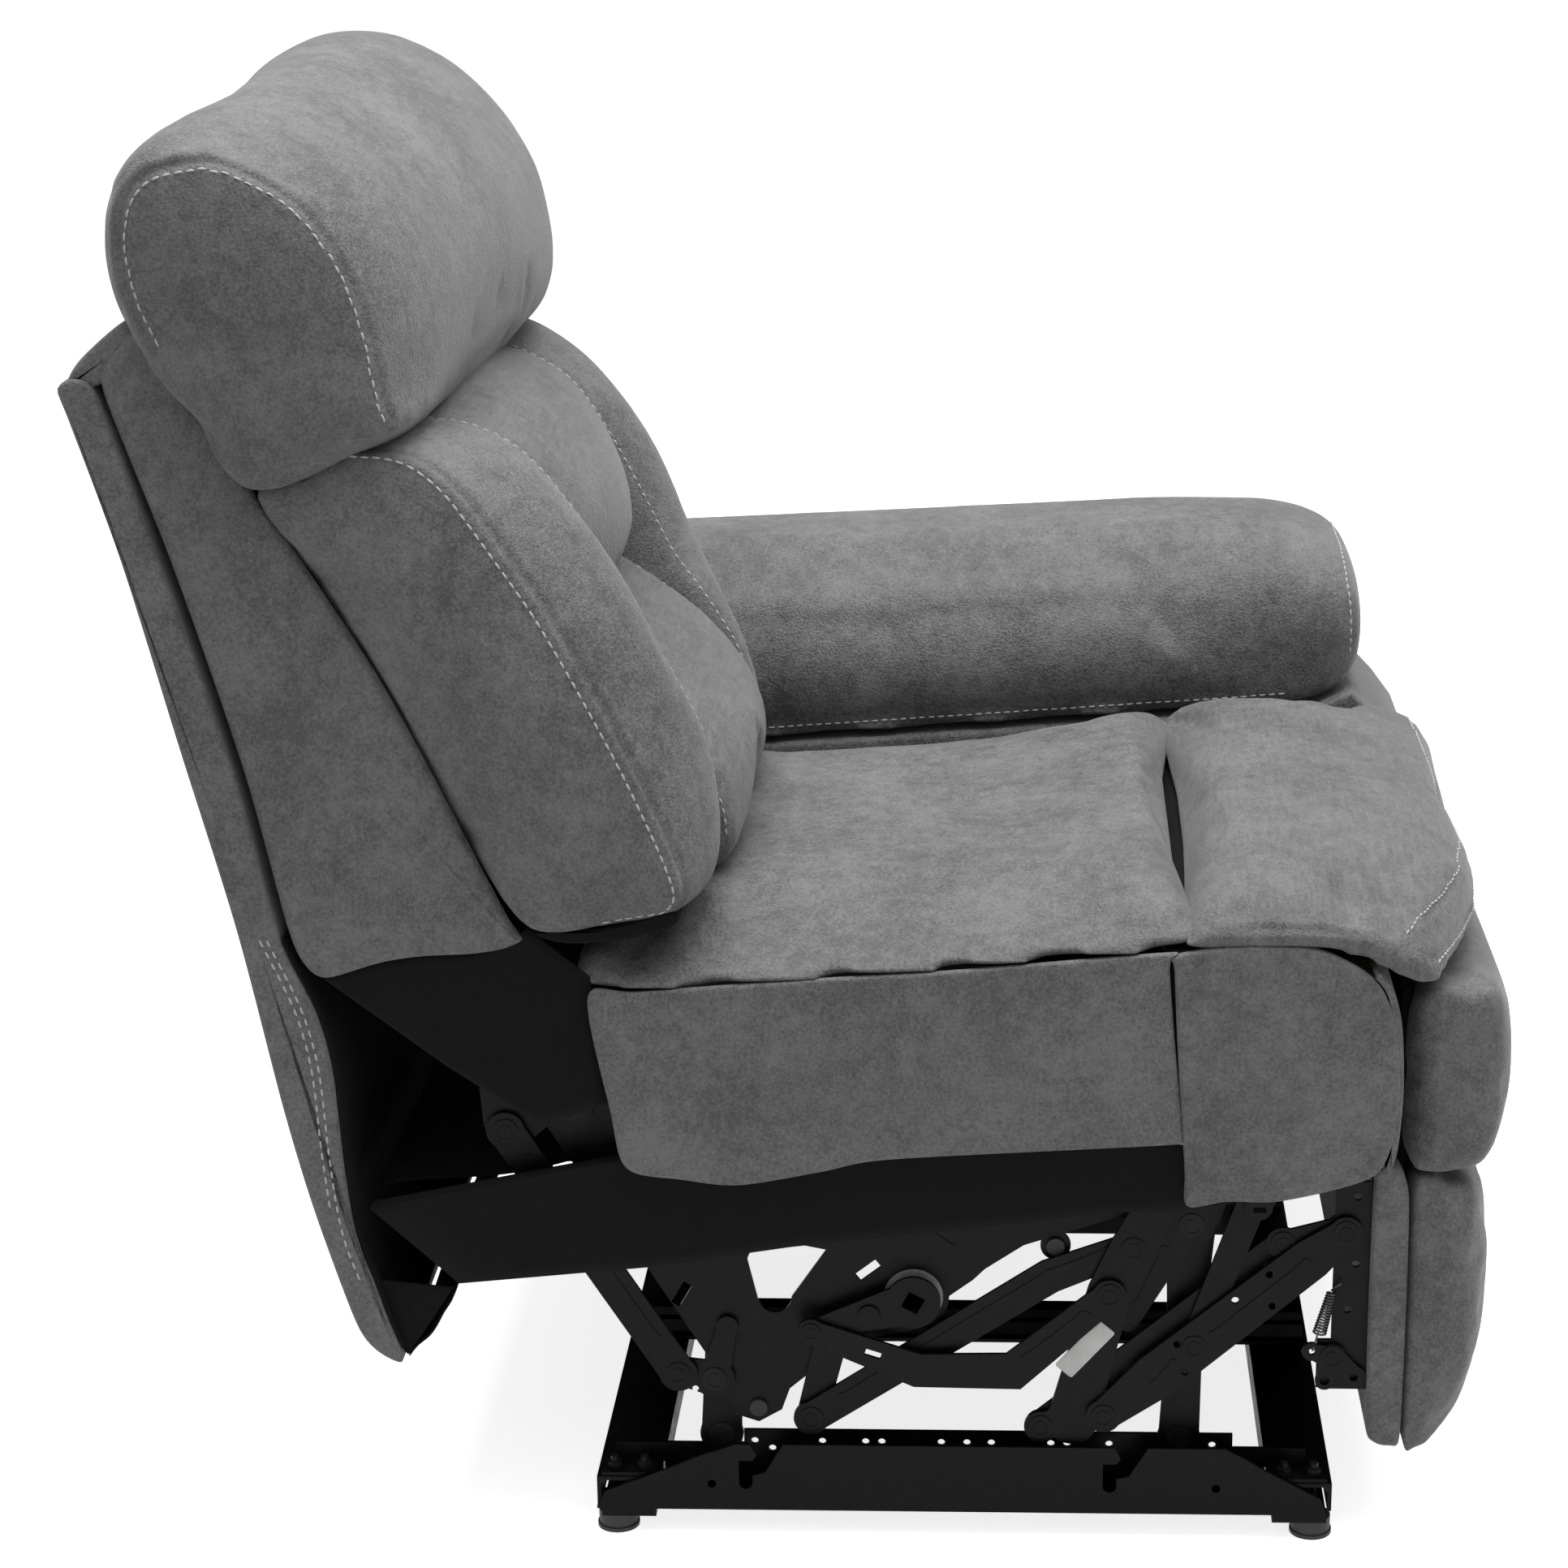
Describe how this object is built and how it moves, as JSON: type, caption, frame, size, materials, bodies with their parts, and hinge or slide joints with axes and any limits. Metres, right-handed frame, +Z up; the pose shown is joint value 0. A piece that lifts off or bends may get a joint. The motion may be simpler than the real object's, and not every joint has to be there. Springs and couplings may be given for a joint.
{
  "type": "reclining armchair",
  "caption": "One-arm reclining chair with a gliding seat box, hinged padded back, folding footrest linkage, side release lever and steel floor base.",
  "frame": {"origin": "centre of the outline on the floor, under the feet", "axes": "+X towards the arm, -Y towards the sitter's feet, +Z up"},
  "size_m": [0.857, 0.995, 1.0449],
  "materials": {
    "upholstery": "grained leather-look microfibre",
    "black_cloth": "matte lining cloth",
    "webbing": "woven elastic strap",
    "rail_steel": "satin black powder coat",
    "channel_steel": "gloss black paint",
    "link_steel": "satin black powder coat",
    "rivet_steel": "satin dark zinc",
    "spring_steel": "black spring wire",
    "foot_rubber": "moulded black",
    "stop_rubber": "matte",
    "nylon": "natural nylon",
    "wrapped_board": "plywood wrapped in black lining cloth",
    "plywood": "raw plywood",
    "timber": "raw pine",
    "lever_plastic": "black moulded handle"
  },
  "bodies": {
    "base": {"near_floor_rail": "rail_steel", "far_floor_rail": "rail_steel", "pivot_plates": "rail_steel", "rear_cross_member": "channel_steel", "front_cross_member": "channel_steel", "centre_rail": "channel_steel", "foot_plates": "channel_steel", "feet": "foot_rubber", "base_bolts": "rivet_steel", "base_pivot_pins": "rivet_steel"},
    "front_swing": {"front_swing_links": "link_steel"},
    "rear_swing": {"rear_swing_links": "link_steel"},
    "seat": {"near_seat_plate": "link_steel", "far_seat_plate": "link_steel", "seat_plate_rivets": "rivet_steel", "tube_bushings": "nylon", "mount_bolts": "rivet_steel", "stop_knobs": "stop_rubber", "near_side_board": "wrapped_board", "far_side_board": "wrapped_board", "seat_cross_rails": "timber", "seat_straps": "webbing", "front_tabs": "link_steel", "near_lining": "black_cloth", "seat_cover": "upholstery", "seat_cushion": "upholstery", "chaise_pad": "upholstery", "arm_frame": "plywood", "arm_cover": "upholstery", "arm_pad": "upholstery", "lever_plate": "link_steel"},
    "back": {"back_brackets": "link_steel", "back_posts": "timber", "back_rails": "timber", "back_shell": "upholstery", "back_lining": "black_cloth", "back_straps": "webbing", "near_bolster": "upholstery", "far_bolster": "upholstery", "upper_back_cushion": "upholstery", "lower_back_cushion": "upholstery", "headrest": "upholstery"},
    "bell_crank": {"bell_cranks": "link_steel"},
    "back_link": {"back_links": "link_steel"},
    "carrier": {"carrier_links": "link_steel"},
    "main_link": {"main_links": "link_steel"},
    "front_link": {"front_links": "link_steel"},
    "lower_link": {"lower_links": "link_steel"},
    "sequence_link": {"sequence_links": "link_steel"},
    "drive_link": {"drive_links": "link_steel"},
    "lock_link": {"lock_links": "link_steel"},
    "crank": {"drive_cranks": "link_steel", "drive_tube": "rail_steel", "release_lever": "lever_plastic"},
    "footrest": {"footrest_brackets": "link_steel", "footrest_board": "plywood", "footrest_pad": "upholstery", "front_pad": "upholstery", "latch_springs": "spring_steel"},
    "latch_hook": {"latch_hooks": "link_steel"}
  },
  "joints": [
    {"name": "recline", "type": "hinge", "parent": "base", "child": "front_swing", "pos_m": [0, -0.2695, 0.07], "axis": [1, 0, 0], "range_deg": [0, 28]},
    {"name": "seat_glide", "type": "hinge", "parent": "front_swing", "child": "seat", "pos_m": [0, -0.2755, 0.24189], "axis": [1, 0, 0], "range_deg": [-28.05, 0]},
    {"name": "rear_swing_pivot", "type": "hinge", "parent": "base", "child": "rear_swing", "pos_m": [0, 0.0675, 0.07], "axis": [1, 0, 0], "range_deg": [0, 28.05]},
    {"name": "back_hinge", "type": "hinge", "parent": "seat", "child": "back", "pos_m": [0, 0.1735, 0.32989], "axis": [1, 0, 0], "range_deg": [-24.05, 0]},
    {"name": "bell_crank_pivot", "type": "hinge", "parent": "seat", "child": "bell_crank", "pos_m": [0, 0.0715, 0.11789], "axis": [1, 0, 0], "range_deg": [-46.13, 0]},
    {"name": "back_link_pivot", "type": "hinge", "parent": "bell_crank", "child": "back_link", "pos_m": [0, 0.0975, 0.1239], "axis": [1, 0, 0], "range_deg": [0, 48.12]},
    {"name": "footrest_fold", "type": "hinge", "parent": "seat", "child": "carrier", "pos_m": [0, -0.2545, 0.27189], "axis": [1, 0, 0], "range_deg": [-88, 0]},
    {"name": "main_link_pivot", "type": "hinge", "parent": "carrier", "child": "main_link", "pos_m": [0, -0.2135, 0.09689], "axis": [1, 0, 0], "range_deg": [0, 108.05]},
    {"name": "footrest_hinge", "type": "hinge", "parent": "main_link", "child": "footrest", "pos_m": [0, -0.3855, 0.2439], "axis": [1, 0, 0], "range_deg": [-110.05, 0]},
    {"name": "front_link_pivot", "type": "hinge", "parent": "seat", "child": "front_link", "pos_m": [0, -0.3393, 0.32549], "axis": [1, 0, 0], "range_deg": [-86.86, 0]},
    {"name": "lower_link_pivot", "type": "hinge", "parent": "carrier", "child": "lower_link", "pos_m": [0, -0.1675, 0.08589], "axis": [1, 0, 0], "range_deg": [0, 107.7]},
    {"name": "sequence_pivot", "type": "hinge", "parent": "carrier", "child": "sequence_link", "pos_m": [0, -0.2165, 0.1929], "axis": [1, 0, 0], "range_deg": [0, 70.53]},
    {"name": "drive_link_pivot", "type": "hinge", "parent": "carrier", "child": "drive_link", "pos_m": [0, -0.2335, 0.22789], "axis": [1, 0, 0], "range_deg": [0, 87.17]},
    {"name": "lock_pivot", "type": "hinge", "parent": "seat", "child": "lock_link", "pos_m": [0, -0.0165, 0.1579], "axis": [1, 0, 0], "range_deg": [-57.92, 0]},
    {"name": "lever_turn", "type": "hinge", "parent": "seat", "child": "crank", "pos_m": [0, -0.0745, 0.1839], "axis": [1, 0, 0], "range_deg": [-125.67, 0]},
    {"name": "latch_pivot", "type": "hinge", "parent": "footrest", "child": "latch_hook", "pos_m": [0, -0.3785, 0.14589], "axis": [1, 0, 0], "range_deg": [-12, 0], "stiffness_Nm_per_rad": 0.6, "springref_deg": 2.86}
  ],
  "couplings": [
    {"joint": "seat_glide", "follows": "recline", "ratio": -1},
    {"joint": "rear_swing_pivot", "follows": "recline", "ratio": 1},
    {"joint": "back_hinge", "follows": "recline", "ratio": -0.85714},
    {"joint": "bell_crank_pivot", "follows": "recline", "ratio": -1.6456},
    {"joint": "back_link_pivot", "follows": "recline", "ratio": 1.7167},
    {"joint": "main_link_pivot", "follows": "footrest_fold", "ratio": -1.2273},
    {"joint": "footrest_hinge", "follows": "footrest_fold", "ratio": 1.25},
    {"joint": "front_link_pivot", "follows": "footrest_fold", "ratio": 0.98647},
    {"joint": "lower_link_pivot", "follows": "footrest_fold", "ratio": -1.2233},
    {"joint": "sequence_pivot", "follows": "footrest_fold", "ratio": -0.80085},
    {"joint": "drive_link_pivot", "follows": "footrest_fold", "ratio": -0.99003},
    {"joint": "lock_pivot", "follows": "footrest_fold", "ratio": 0.65767},
    {"joint": "lever_turn", "follows": "footrest_fold", "ratio": 1.4276}
  ]
}
